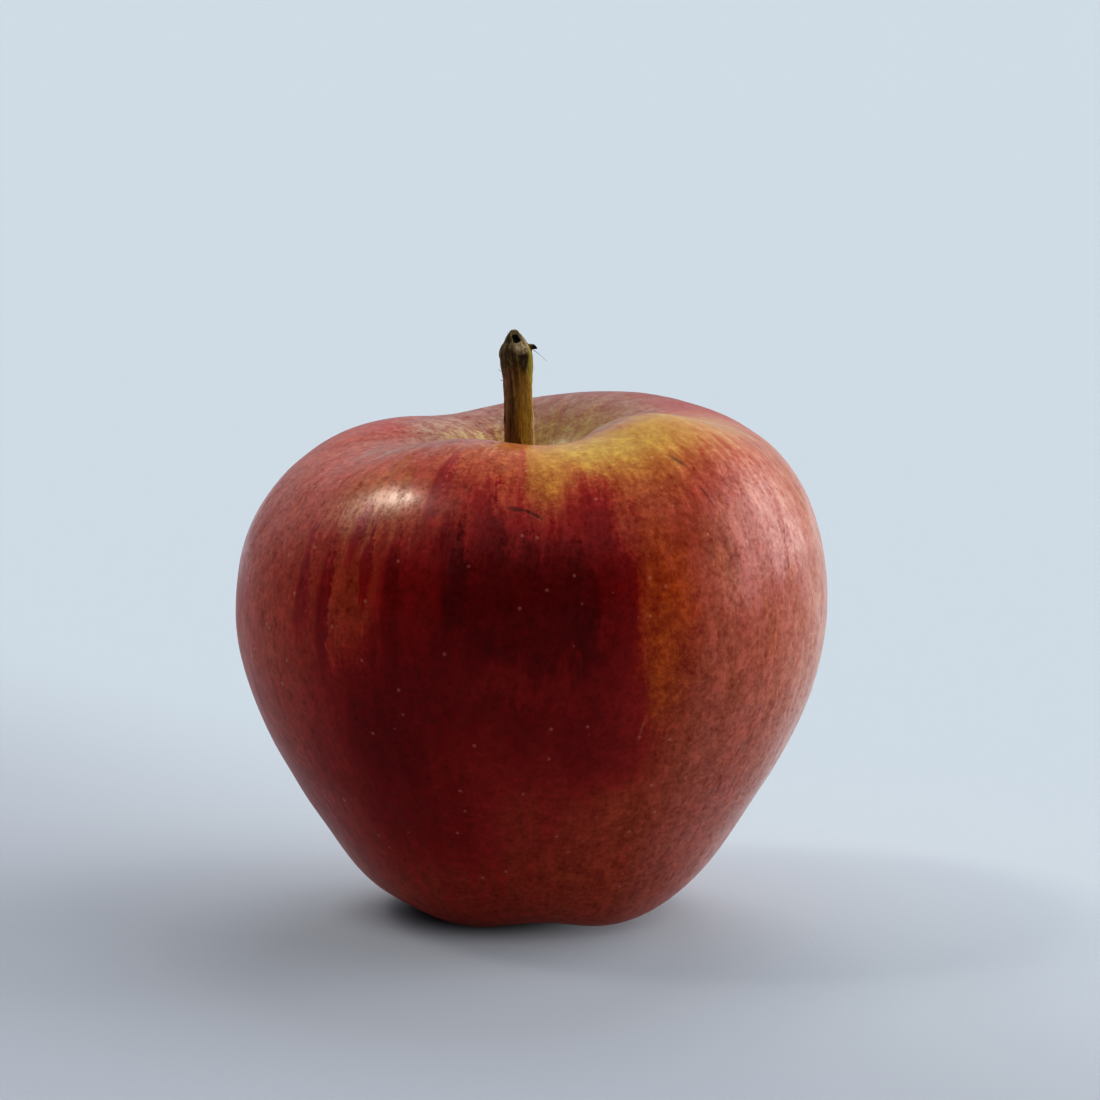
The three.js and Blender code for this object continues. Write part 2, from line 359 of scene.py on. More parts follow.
# %% The sepals: one patch, extruded along its curl
SEPAL_DEPTH = 2.3 * MM
SEPAL_LINE = [  # distance from the axis, height, half width, in mm
    (2.70, 5.35, 1.22),
    (2.22, 4.72, 1.16),
    (1.95, 4.10, 1.02),
    (1.98, 3.55, 0.86),
    (2.25, 3.02, 0.68),
    (2.72, 2.58, 0.50),
    (3.24, 2.25, 0.34),
    (3.72, 2.05, 0.16),
]
KEEL = 0.22
root_radius, root_height, root_half = SEPAL_LINE[0]
bpy.ops.object.select_all(action="DESELECT")
bpy.ops.mesh.primitive_grid_add(
    x_subdivisions=4, y_subdivisions=1, size=SEPAL_DEPTH,
    location=(0, -root_radius * MM, root_height * MM),
)
sepal = bpy.context.object
sepal.name = sepal.data.name = "sepal_pattern"
settle(sepal)
edit(sepal)
bpy.ops.mesh.select_all(action="SELECT")
root_scale = (2 * root_half * MM / SEPAL_DEPTH, 1, 1)
bpy.ops.transform.resize(value=root_scale, center_override=(0, 0, 0))
for here, there in zip(SEPAL_LINE, SEPAL_LINE[1:]):
    step = (0, (here[0] - there[0]) * MM, (there[1] - here[1]) * MM)
    bpy.ops.mesh.extrude_region_move(TRANSFORM_OT_translate={"value": step})
    bpy.ops.transform.resize(value=(there[2] / here[2], 1, 1), center_override=(0, 0, 0))
bpy.ops.object.mode_set(mode="OBJECT")
print("sepal pattern:", len(sepal.data.vertices), "vertices")

# %% The sepals: a keel, thickness, and five copies
edit(sepal)
choose_vertices(sepal, lambda place: abs(place.x) < 0.02 * MM)
bpy.ops.transform.translate(value=(0, -KEEL * MM, -KEEL * MM))
bpy.ops.object.mode_set(mode="OBJECT")
apply_modifier(sepal, "SOLIDIFY", thickness=0.3 * MM, offset=0)
apply_modifier(sepal, "SUBSURF", levels=2, render_levels=2)
crumples = bpy.data.textures.new("crumples", "CLOUDS")
crumples.noise_scale = 1.1 * MM
crumples.noise_depth = 1
SEPAL_VARIETY = [(1.0, 0), (0.93, 5), (1.04, -4), (0.96, 3), (1.02, -6)]  # spread, twist in degrees
sepals = []
for number, (spread, twist) in enumerate(SEPAL_VARIETY):
    copy = bpy.data.objects.new("copy", sepal.data.copy())
    bpy.context.collection.objects.link(copy)
    copy.name = copy.data.name = f"apple_sepal_{number + 1}"
    copy.rotation_euler.z = math.radians(number * 360 / len(SEPAL_VARIETY) + twist)
    copy.scale = (spread, spread, 1)
    settle(copy)
    apply_modifier(
        copy, "DISPLACE", texture=crumples, texture_coords="LOCAL", strength=0.35 * MM, mid_level=0.5
    )
    close_up(copy, 1e-7)
    pick(copy)
    bpy.ops.object.shade_smooth()
    sepals.append(copy)
    measure(copy)
bpy.data.objects.remove(sepal)

# %% [markdown]
# Between the sepals hang the dried stamens: thin threads, each with a small anther at its end. One
# thread is a ring of eight vertices, extruded down a slightly bent line and swollen at the end. It
# is copied round the axis with different leans, and the copies are joined into one tuft.

# %% The stamens: one thread
THREAD_RINGS = [  # height, distance from the axis, half width, in mm
    (7.75, 0.42, 0.15),
    (7.0, 0.40, 0.10),
    (6.2, 0.44, 0.08),
    (5.5, 0.52, 0.08),
    (5.25, 0.56, 0.15),
    (4.95, 0.60, 0.21),
    (4.65, 0.64, 0.15),
    (4.5, 0.65, 0.06),
]
THREAD_SIDES = 8
top_height, top_reach, top_half = THREAD_RINGS[0]
bpy.ops.object.select_all(action="DESELECT")
bpy.ops.mesh.primitive_circle_add(
    vertices=THREAD_SIDES, radius=top_half * MM, fill_type="NGON",
    location=(0, -top_reach * MM, top_height * MM),
)
thread = bpy.context.object
thread.name = "thread"
settle(thread)
edit(thread)
choose_vertices(thread, lambda place: True)
for above, ring in zip(THREAD_RINGS, THREAD_RINGS[1:]):
    step = (0, (above[1] - ring[1]) * MM, (ring[0] - above[0]) * MM)
    bpy.ops.mesh.extrude_region_move(TRANSFORM_OT_translate={"value": step})
    thinner = ring[2] / above[2]
    centre = (0, -ring[1] * MM, ring[0] * MM)
    bpy.ops.transform.resize(value=(thinner, thinner, 1), center_override=centre)
close_up(thread, 1e-9)
apply_modifier(thread, "SUBSURF", levels=1, render_levels=1)

# %% The stamens: thirteen threads in one tuft
THREADS = 13
GOLDEN_TURN = 137.5
threads = []
for number in range(THREADS):
    copy = bpy.data.objects.new(f"thread_{number}", thread.data.copy())
    bpy.context.collection.objects.link(copy)
    spread = 0.25 + 0.75 * math.sqrt(number / (THREADS - 1))
    shorter = 1 - 0.07 * (number % 3)
    copy.rotation_euler.z = math.radians(number * GOLDEN_TURN)
    copy.scale = (1, spread, shorter)
    copy.location.z = top_height * MM * (1 - shorter)
    settle(copy)
    threads.append(copy)
bpy.data.objects.remove(thread)
pick(threads[0])
for copy in threads:
    copy.select_set(True)
bpy.ops.object.join()
tuft = bpy.context.object
tuft.name = tuft.data.name = "apple_stamens"
bpy.ops.object.shade_smooth()
measure(tuft)

# %% [markdown]
# Each piece stands for its solid node, and all of them ride on the one body.

# %% Tie the pieces to the solid model
for piece, node, slot in (
    [(fruit, "fruit", "skin"), (stalk, "stem", "stem_bark"), (tuft, "dried_stamens", "dry_stamen")]
    + [(copy, f"sepal_{number + 1}", "dry_sepal") for number, copy in enumerate(sepals)]
):
    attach(piece, "root")
    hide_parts(node)

# %% [markdown]
# Finishes are node trees. One small class wraps a node's output, so that sums on it read as
# ordinary arithmetic and each one adds a Math node. Another makes any node from its type, its
# settings and its inputs. All patterns read Object coordinates, so they stay on the surface.

# %% Helpers for finishes
class Wire:
    """One output of a shader node. Arithmetic on wires adds Math nodes."""

    def __init__(self, finish, socket):
        self.finish = finish
        self.socket = socket

    def math(self, operation, *values):
        node = self.finish.node("ShaderNodeMath", {"operation": operation}, dict(enumerate(values)))
        return Wire(self.finish, node.outputs[0])

    def __add__(self, other):
        return self.math("ADD", self, other)

    def __sub__(self, other):
        return self.math("SUBTRACT", self, other)

    def __mul__(self, other):
        return self.math("MULTIPLY", self, other)

    def __truediv__(self, other):
        return self.math("DIVIDE", self, other)

    def __rsub__(self, other):
        return self.math("SUBTRACT", other, self)

    def __rtruediv__(self, other):
        return self.math("DIVIDE", other, self)

    def __neg__(self):
        return self.math("MULTIPLY", self, -1)

    __radd__ = __add__
    __rmul__ = __mul__

    def power(self, exponent):
        return self.math("POWER", self, exponent)

    def angle(self, run):
        """The angle in degrees of a slope that rises by this wire over the given run."""
        return self.math("ARCTAN2", self, run) * (180 / math.pi)

    def least(self, other):
        return self.math("MINIMUM", self, other)

    def most(self, other):
        return self.math("MAXIMUM", self, other)


class Finish:
    """A material and its node tree."""

    def __init__(self, name):
        self.material = bpy.data.materials.new(name)
        self.material.use_nodes = True
        self.tree = self.material.node_tree
        self.tree.nodes.clear()

    def node(self, kind, settings=None, inputs=None):
        """Makes a node: its settings first, then the values or wires of its inputs."""
        node = self.tree.nodes.new(kind)
        for name, value in (settings or {}).items():
            if name == "stops":
                ramp = node.color_ramp
                while len(ramp.elements) < len(value):
                    ramp.elements.new(0.5)
                for element, (place, color) in zip(ramp.elements, value):
                    element.position = place
                    element.color = (*color, 1)
            else:
                setattr(node, name, value)
        for name, value in (inputs or {}).items():
            socket = node.inputs[name]
            if isinstance(value, Wire):
                self.tree.links.new(value.socket, socket)
            else:
                socket.default_value = value
        return node

    def wire(self, kind, settings=None, inputs=None, output=0):
        return Wire(self, self.node(kind, settings, inputs).outputs[output])

    def place(self):
        """The place on the piece, in millimetres."""
        coordinates = self.wire("ShaderNodeTexCoord", output="Object")
        return self.wire(
            "ShaderNodeVectorMath", {"operation": "SCALE"}, {0: coordinates, "Scale": 1 / MM}
        )

    def parts(self, vector):
        node = self.node("ShaderNodeSeparateXYZ", inputs={0: vector})
        return [Wire(self, socket) for socket in node.outputs]

    def vector(self, x, y, z):
        return self.wire("ShaderNodeCombineXYZ", inputs={0: x, 1: y, 2: z})

    def along(self, vector, axis):
        """How far a place lies along an axis."""
        return self.wire(
            "ShaderNodeVectorMath", {"operation": "DOT_PRODUCT"}, {0: vector, 1: axis}, output="Value"
        )

    def noise(self, vector, scale=1.0, detail=2.0, roughness=0.5):
        """Soft random values about 0."""
        return self.wire("ShaderNodeTexNoise", inputs={
            "Vector": vector, "Scale": scale, "Detail": detail, "Roughness": roughness,
        }) - 0.5

    def step(self, value, low, high, top=1.0):
        """0 below low, top above high, and smooth between them. It also works with low above high.

        A smooth step can't leave 0 to top anyway, so the node's own clamp is off: it would only make
        the tree longer.
        """
        return self.wire("ShaderNodeMapRange", {"interpolation_type": "SMOOTHSTEP", "clamp": False}, {
            "Value": value, "From Min": low, "From Max": high, "To Min": 0.0, "To Max": top,
        })

    def mix(self, share, first, second):
        """Mixes two plain values."""
        return self.wire("ShaderNodeMix", inputs={"Factor": share, 2: first, 3: second})

    def blend(self, share, first, second, how="MIX"):
        """Mixes two colours. Each is a wire or three numbers."""
        values = [c if isinstance(c, Wire) else (*c, 1) for c in (first, second)]
        return self.wire(
            "ShaderNodeMix", {"data_type": "RGBA", "blend_type": how},
            {"Factor": share, 6: values[0], 7: values[1]}, output=2,
        )

    def ramp(self, value, stops):
        return self.wire("ShaderNodeValToRGB", {"stops": stops}, {0: value})

    def bump(self, height, distance, strength=0.9):
        return self.wire("ShaderNodeBump", inputs={
            "Height": height, "Distance": distance, "Strength": strength,
        })

    def shade(self, **inputs):
        """Joins the values to the Principled shader, whose names are given in the call."""
        named = {name.replace("_", " ").title().replace("Ior", "IOR"): v for name, v in inputs.items()}
        shader = self.wire("ShaderNodeBsdfPrincipled", inputs=named)
        self.node("ShaderNodeOutputMaterial", inputs={"Surface": shader})
        return self.material


def dress(piece, material):
    piece.data.materials.clear()
    piece.data.materials.append(material)


# %% [markdown]
# The skin is the apple's main finish. On the real fruit a thin red blush lies over a yellow-green
# ground. It is laid in flames and streaks that run from the stalk to the base, it is densest on the
# side that had the sun, and leaves and twigs left sharp-edged paler places. One wash of noise would
# look the same everywhere, so the skin is painted on a chart instead: how far round a point lies,
# and how far up it has climbed. Both are angles, so the chart wraps the fruit without a seam.

# %% The skin: a chart of the fruit
skin = Finish("apple_skin")
place = skin.place()
x, y, z = skin.parts(place)
reach = (x * x + y * y).power(0.5).most(0.01)
CHART_MIDDLE = 35
climb = (z - CHART_MIDDLE).angle(reach)
turn = x.angle(-y)
turn_from_back = (-x).angle(y)
unit = skin.vector(x / reach, y / reach, climb * (math.pi / 180))


def streaks(around, along, start, detail=2.0, roughness=0.5):
    """Noise that is fine round the fruit and long from base to stalk."""
    stretched = skin.wire("ShaderNodeVectorMath", {"operation": "MULTIPLY_ADD"}, {
        0: unit, 1: (around, around, along), 2: (start, -start, 2 * start),
    })
    return skin.noise(stretched, detail=detail, roughness=roughness)


broad_streaks = streaks(5.5, 1.5, 3.1)
flame_streaks = streaks(15, 4.0, 7.7, detail=3.0, roughness=0.55)
fine_streaks = streaks(36, 9.0, 1.3, detail=3.0, roughness=0.6)
dashes = streaks(75, 26.0, 4.9, detail=2.0, roughness=0.6)
grain = skin.noise(place, scale=1.6, detail=3.0, roughness=0.75)
mottling = skin.noise(place, scale=0.62, detail=2.0)
clouds = skin.noise(place, scale=0.16, detail=2.0)
print("skin chart: 0 degrees round is the front, 0 degrees of climb is the belly")

# %% [markdown]
# Each patch of blush is a stroke on that chart: an ellipse with a place, a size, a lean and a soft
# or sharp edge. If the chart itself is pushed about by streaks, then every stroke gets the ragged,
# comb-like ends of real blush, as if it had been drawn with a dry brush.

# %% The skin: a brush for the chart
raggedness = skin.step(climb, -30, 12) * 0.6 + 0.4
combed = climb + (flame_streaks * 20 + fine_streaks * 14 + dashes * 8) * raggedness + grain * 7
swayed = broad_streaks * 5 + flame_streaks * 5 + grain * 2.5
front_chart = skin.vector(turn + swayed, combed, 0.0)
back_chart = skin.vector(turn_from_back + swayed, combed, 0.0)
plain_chart = skin.vector(turn, climb, 0.0)


def stroke(chart, across, up, half_width, half_height, lean=0, softness=0.4, strength=1.0):
    """The strength inside one brush stroke, 0 outside it."""
    finish = chart.finish
    if lean:
        tilt = math.radians(lean)
        side = (math.cos(tilt), math.sin(tilt), 0)
        rise = (-math.sin(tilt), math.cos(tilt), 0)
        chart = finish.vector(finish.along(chart, side), finish.along(chart, rise), 0.0)
        across, up = side[0] * across + side[1] * up, rise[0] * across + rise[1] * up
    spot = finish.wire("ShaderNodeVectorMath", {"operation": "MULTIPLY_ADD"}, {
        0: chart, 1: (1 / half_width, 1 / half_height, 0),
        2: (-across / half_width, -up / half_height, 0),
    })
    distance = finish.wire(
        "ShaderNodeVectorMath", {"operation": "LENGTH"}, {0: spot}, output="Value"
    )
    return finish.step(distance, 1 + softness, 1 - softness, strength)


def lay(mix, ground, chart, strokes):
    """Mixes each stroke's own value or colour into the ground, one stroke over another."""
    for *shape, target, strength in strokes:
        ground = mix(stroke(chart, *shape, strength), ground, target)
    return ground


# %% [markdown]
# Blush runs from 0, bare yellow-green, to 1, almost black maroon. The washes come first, wide and
# soft, then the flames and the sharp-edged places. The back is painted in the same way, with its
# own patches, because this apple is looked at from every side.

# %% The skin: washes of blush
# Degrees round, degrees up, half width, half height, lean, softness, blush, strength
FRONT_WASHES = [
    (60, 4, 38, 62, 0, 0.60, 0.50, 0.90),
    (36, -36, 44, 24, 0, 0.60, 0.54, 0.80),
    (-62, 42, 40, 18, 0, 0.60, 0.54, 0.85),
    (-58, 8, 14, 26, 0, 0.60, 0.58, 0.80),
    (-24, -24, 20, 34, 8, 0.60, 0.84, 0.85),
    (0, -34, 13, 13, 0, 0.60, 0.64, 0.75),
    (10, -15, 12, 9, 0, 0.80, 0.87, 0.75),
    (-29, -14, 9, 10, 0, 0.60, 0.90, 0.75),
    (-4, 3, 25, 22, 0, 0.35, 0.85, 0.95),
    (-9, -20, 9, 9, 0, 0.60, 0.72, 0.70),
    (0, -2.5, 15, 3.5, 0, 0.60, 0.74, 0.65),
    (2, 13, 17, 12.5, 0, 0.25, 0.92, 0.90),
    (15, 14, 5.2, 14, 0, 0.20, 0.84, 0.80),
    (0, -54, 70, 12, 0, 0.70, 0.56, 0.60),
]
BACK_WASHES = [
    (-30, 8, 34, 46, 0, 0.60, 0.80, 0.85),
    (38, 0, 30, 50, 0, 0.60, 0.58, 0.85),
    (-72, -20, 22, 40, 0, 0.60, 0.70, 0.70),
    (8, 44, 30, 10, 0, 0.50, 0.48, 0.70),
    (0, -54, 90, 12, 0, 0.70, 0.52, 0.60),
]
blush = clouds * 0.25 + 0.66
blush = lay(skin.mix, blush, back_chart, BACK_WASHES)
blush = lay(skin.mix, blush, front_chart, FRONT_WASHES)

# %% The skin: flames and bare places
FRONT_PATCHES = [
    (-14, 46, 12.0, 9.5, 0, 0.50, 0.46, 0.75),
    (-7, 53, 8.0, 6.0, 0, 0.60, 0.26, 0.75),
    (24, 35, 13, 6.5, 0, 0.50, 0.48, 0.75),
    (62, 48, 34, 7.0, 0, 0.50, 0.22, 0.90),
    (-37, 14, 7.5, 12, 0, 0.45, 0.54, 0.75),
    (-36, 32, 11, 7.5, 8, 0.60, 0.40, 0.80),
    (-48.5, 15, 1.5, 11, 3, 0.40, 0.80, 0.90),
    (-43, 9, 1.5, 12, 3, 0.40, 0.82, 0.90),
    (-37.5, 24, 1.3, 6, 2, 0.40, 0.78, 0.80),
    (-33, 19, 1.5, 7, 2, 0.40, 0.80, 0.85),
    (-27, 10, 2.2, 12, 0, 0.40, 0.88, 0.85),
    (-21, 14, 4.0, 9, 0, 0.50, 0.78, 0.75),
    (-6, 42, 4.5, 8, 0, 0.60, 0.44, 0.70),
    (-22, 37, 1.5, 9, 3, 0.50, 0.78, 0.90),
    (-12, 33, 0.9, 6, 2, 0.50, 0.74, 0.80),
    (-18, 22, 1.5, 6, 3, 0.45, 0.84, 0.70),
    (-15, 15, 2.2, 10, 2, 0.40, 1.00, 0.70),
    (-8.5, 27, 2.6, 6.5, 2, 0.45, 0.88, 0.75),
    (9, 9, 3.4, 11, 0, 0.45, 1.00, 0.60),
    (14, 31, 4.0, 9.0, -4, 0.45, 0.82, 0.85),
    (26, 12, 5.0, 20, 0, 0.30, 0.50, 0.90),
    (25.5, 3, 3.6, 9, 0, 0.50, 0.44, 0.80),
    (30.5, 6.5, 0.9, 4, 0, 0.50, 0.62, 0.70),
    (44, 33, 9, 5, 10, 0.50, 0.62, 0.60),
    (43, 12, 1.6, 12, 0, 0.50, 0.58, 0.50),
    (48, 54, 20, 6.0, 0, 0.50, 0.06, 0.85),
    (34, 56, 5.5, 3.0, 0, 0.50, 0.60, 0.65),
    (57, 22, 12, 11, 0, 0.60, 0.66, 0.80),
    (-20, -26, 2.2, 12, 0, 0.50, 0.74, 0.50),
    (4, -22, 2.2, 13, 0, 0.50, 0.70, 0.50),
]
BACK_PATCHES = [
    (14, 34, 7, 12, 0, 0.35, 0.34, 0.80),
    (-8, 20, 2.2, 15, 2, 0.40, 0.92, 0.70),
    (-24, 12, 4.0, 18, 0, 0.30, 0.92, 0.75),
    (-44, 20, 1.8, 14, -2, 0.40, 0.90, 0.65),
    (28, 16, 1.6, 14, 2, 0.40, 0.78, 0.70),
    (46, 10, 2.2, 16, 0, 0.40, 0.76, 0.65),
    (60, 26, 1.6, 12, 0, 0.40, 0.76, 0.65),
    (2, -20, 5.0, 16, 0, 0.40, 0.50, 0.60),
    (-58, -6, 3.2, 18, 0, 0.40, 0.54, 0.60),
]
YELLOW_PATCH = [
    (4.5, 33, 5.0, 10, 0, 0.60, 0.70, 0.85),
    (3.0, 41, 5.0, 10, 0, 0.60, 0.24, 0.85),
    (21, 48, 27, 10, 0, 0.80, 0.14, 0.95),
    (22, 48, 14, 5.5, 0, 0.90, 0.02, 0.70),
]
blush = lay(skin.mix, blush, back_chart, BACK_PATCHES)
blush = lay(skin.mix, blush, front_chart, FRONT_PATCHES)
calm_chart = skin.vector(turn + swayed, (combed - climb) * 0.35 + climb, 0.0)
yellow = lay(skin.mix, blush, calm_chart, YELLOW_PATCH)
leaf_edge = skin.step(turn + flame_streaks * 2.5 + grain * 2, -2.4, -1.0)
blush = skin.mix(leaf_edge, blush, yellow)
streaky = flame_streaks * 0.42 + fine_streaks * 0.14 + mottling * 0.22 + grain * 0.30
blush = blush + streaky * (skin.step(blush, 0.98, 0.70) * 0.35 + 0.30)

# %% [markdown]
# A colour ramp turns blush into colour. Some places also carry a pale, slightly powdery veil: partly
# the real bloom of wax and fine air-filled cells, and along the right-hand edge mostly a painted
# sheen, where grazing light from the right brightens the skin. Inside the hollow the blush fades into
# olive and thin brown russet, and around the eye underneath it fades into a greenish ochre.

# %% The skin: colour
BLUSH_COLORS = [
    (0.00, (0.51, 0.33, 0.045)),
    (0.22, (0.49, 0.21, 0.028)),
    (0.42, (0.44, 0.115, 0.024)),
    (0.56, (0.42, 0.060, 0.022)),
    (0.70, (0.36, 0.016, 0.010)),
    (0.85, (0.24, 0.001, 0.002)),
    (1.00, (0.12, 0.0, 0.0)),
]
color = skin.ramp(blush, BLUSH_COLORS)
BLOOM_AND_SHEEN = (0.61, 0.33, 0.225)
# The two strong patches at the right-hand edge, 72 and 89 degrees round, are mostly painted sheen.
FRONT_BLOOM_AND_SHEEN = [
    (56, 6, 34, 50, 0, 0.60, 0.04, 0.95),
    (34, -30, 36, 28, 0, 0.60, 0.02, 0.90),
    (-60, 48, 40, 12, 0, 0.60, 0.03, 0.90),
    (-80, 0, 18, 44, 0, 0.60, 0.06, 0.90),
    (72, 38, 24, 20, 0, 0.60, 0.30, 0.90),
    (89, -4, 26, 54, 0, 0.60, 0.46, 0.90),
    (25, 6, 6.0, 18, 0, 0.50, 0.00, 0.90),
]
BACK_VEILS = [
    (44, 6, 34, 44, 0, 0.60, 0.12, 0.90),
    (-60, -10, 30, 40, 0, 0.60, 0.10, 0.90),
]
bloom_and_sheen = lay(skin.mix, 0.0, back_chart, BACK_VEILS)
bloom_and_sheen = lay(skin.mix, bloom_and_sheen, front_chart, FRONT_BLOOM_AND_SHEEN)
bloom_and_sheen = (bloom_and_sheen * (flame_streaks * 1.3 + mottling * 0.7 + 1.0)).most(0)
color = skin.blend(bloom_and_sheen, color, BLOOM_AND_SHEEN)
AMBER = (0.43, 0.060, 0.003)
amber_share = stroke(front_chart, 26, 8, 5.4, 17, 0, 0.5, 0.75)
color = skin.blend(amber_share, color, AMBER)

RIM_BEIGE = (0.375, 0.25, 0.18)
RIM_MAUVE = (0.31, 0.15, 0.105)
OLIVE = (0.37, 0.26, 0.085)
RUSSET = (0.17, 0.10, 0.04)
inside = skin.step(climb + flame_streaks * 9 + grain * 6, 53, 62)
mauve_share = skin.step(flame_streaks + fine_streaks * 0.8 + broad_streaks * 0.6, -0.16, 0.16)
hollow = skin.blend(mauve_share, RIM_BEIGE, RIM_MAUVE)
hollow = skin.blend(skin.step(climb + flame_streaks * 14 + grain * 10, 62, 72), hollow, OLIVE)
hollow = skin.blend(skin.step(climb + fine_streaks * 20, 76, 88), hollow, RUSSET)
color = skin.blend(inside * 0.85, color, hollow)
# A darker brown band along the hollow's rim, at the front left and at the back.
RIM_DARK_BROWN = (0.235, 0.145, 0.10)
rim_brown_share = stroke(front_chart, -46, 54, 34, 9, 0, 0.6, 0.50)
color = skin.blend(rim_brown_share, color, RIM_DARK_BROWN)
back_rim_share = stroke(back_chart, 0, 52, 62, 9, 0, 0.6, 0.50)
color = skin.blend(back_rim_share, color, RIM_DARK_BROWN)
EYE_GROUND = (0.36, 0.20, 0.05)
eye_share = skin.step(climb + flame_streaks * 22 + fine_streaks * 10, -62, -76)
color = skin.blend(eye_share * 0.8, color, EYE_GROUND)
HAZE_COLOR = (0.70, 0.30, 0.34)
specks = grain * 1.15 + mottling * 0.8 + fine_streaks * 0.5 + flame_streaks * 0.6
specks = specks.most(specks * 0.65) * (1 - bloom_and_sheen) * (1 - leaf_edge * skin.step(climb, 34, 44) * 0.4)
speck_tint = skin.vector(specks * 1.4 + 1, specks * 3.2 + 1, specks * 3.2 + 1)
color = skin.blend(1.0, color, speck_tint, "MULTIPLY")
haze = (grain * 0.8 + mottling * 0.4 + 0.12).most(0)
color = skin.blend(haze * 0.035, color, HAZE_COLOR)

# %% [markdown]
# Last come the small marks: pale breathing pores, a shallow crease, two dark rubs and a light
# scratch. The crease's dark colour is painted shade; the rubs are dark marks of their own. The pores
# are places where the surface passes close to a random point in space, so they come out in
# different sizes by themselves.

# %% The skin: pores, crease and scratches
PORE_SPACING = 2.8
pore_distance = skin.wire(
    "ShaderNodeTexVoronoi", {"feature": "F1"}, {"Vector": place, "Scale": 1 / PORE_SPACING}
)
pores = skin.step(pore_distance, 0.115, 0.045)
PORE_COLOR = (0.64, 0.26, 0.18)
color = skin.blend(pores * 0.44, color, PORE_COLOR)
crease = stroke(plain_chart, -3.3, 30.7, 1.9, 0.50, -6, 0.5)
crease = crease.most(stroke(plain_chart, 0.4, 29.6, 2.2, 0.34, -28, 0.5))
rub = stroke(plain_chart, 37, 39, 0.55, 1.9, 32, 0.5)
second_rub = stroke(plain_chart, 39, 31, 0.30, 2.6, 18, 0.6)
# Painted shade in the crease, and the dark colour of the two rubs.
CREASE_SHADE_AND_RUB_COLOR = (0.05, 0.008, 0.005)
crease_shade_and_rubs = (crease * 0.6).most(rub * 0.5).most(second_rub * 0.35)
color = skin.blend(crease_shade_and_rubs, color, CREASE_SHADE_AND_RUB_COLOR)
scratch = stroke(plain_chart, 21.4, -11.6, 0.26, 2.4, -12, 0.7)
color = skin.blend(scratch * (grain * 0.8 + 0.25), color, PORE_COLOR)

# %% The skin: gloss and relief
relief = grain * 0.9 + fine_streaks * 0.7 + pores * 0.5 - crease * 2.0 - rub
normal = skin.bump(relief, distance=0.03 * MM)
right_low = skin.step(turn, 40, 22) * skin.step(turn, -170, -150)
left_low = skin.step(turn, -52, -34)
below = skin.step(climb, 22, 6)
dull = below * right_low.least(left_low * 0.3 + 0.7)
waxed = (1 - dull) * skin.step(climb, -70, -45) * (skin.step(climb, 66, 54) * 0.6 + 0.4)
wax_breaks = flame_streaks + fine_streaks * 1.5 + dashes * 1.5 + grain * 3.0 + 1.0
coat = ((waxed * 0.76 + 0.02) * wax_breaks).most(0).least(1)
roughness = 0.42 + grain * 0.2 + fine_streaks * 0.1
dress(fruit, skin.shade(
    base_color=color, roughness=roughness, specular_ior_level=0.2, normal=normal,
    coat_weight=coat, coat_roughness=0.22,
))
print("skin nodes:", len(skin.tree.nodes))

# %% [markdown]
# The stalk has its own chart: degrees round its centre line, which leans a little to the left as it
# rises, and height in millimetres. The bark is golden olive in front and on the right and brown-mauve
# on the left and at the back: partly its own colour, and partly painted light from the right-hand
# windows and painted shade on the other side. Its dark grooves and the slot in its scar are painted
# shade. Its knob is darker and mottled, and the scar at the tip shows pale wood. The same brush lays
# these places, and long fine streaks follow the grain of the wood.

# %% The stalk: a chart and its streaks
bark = Finish("stalk_bark")
bark_place = bark.place()
bx, by, bz = bark.parts(bark_place)
stalk_middle = bark.step(bz, 47, 58) * -1.42 + bark.step(bz, 61, 69.5) * -0.42
stalk_x = bx - stalk_middle
stalk_turn = stalk_x.angle(0.14 - by)
stalk_reach = (stalk_x * stalk_x + by * by).power(0.5).most(0.01)
wood_unit = bark.vector(stalk_x / stalk_reach * 5, by / stalk_reach * 5, bz * 0.55)
wood_grain = bark.noise(wood_unit, scale=1.6, detail=4.0, roughness=0.6)
long_streaks = bark.noise(wood_unit, scale=0.55, detail=2.0)
lumps = bark.noise(bark_place, scale=1.9, detail=3.0, roughness=0.6)
dust = bark.noise(bark_place, scale=7.0, detail=2.0, roughness=0.6)
bark_chart = bark.vector(stalk_turn + wood_grain * 30, bz + lumps * 1.6, 0.0)

# %% The stalk: colours laid on the chart
GOLDEN = (0.40, 0.25, 0.055)
BARK_BROWN = (0.27, 0.15, 0.08)
RED_BROWN = (0.21, 0.095, 0.028)
KNOB_BROWN = (0.085, 0.062, 0.026)
KNOB_PALE = (0.27, 0.225, 0.085)
# Painted shade in the bark's grooves and creases.
CREVICE_SHADE = (0.035, 0.02, 0.01)
PALE_WOOD = (0.50, 0.40, 0.25)
# Painted shade inside the slot of the scar.
SLOT_SHADE = (0.012, 0.009, 0.006)
BUD_BLACK = (0.02, 0.018, 0.012)
GRAIN_SHADE = (0.30, 0.22, 0.18)
DUST_SHADE = (0.35, 0.28, 0.22)
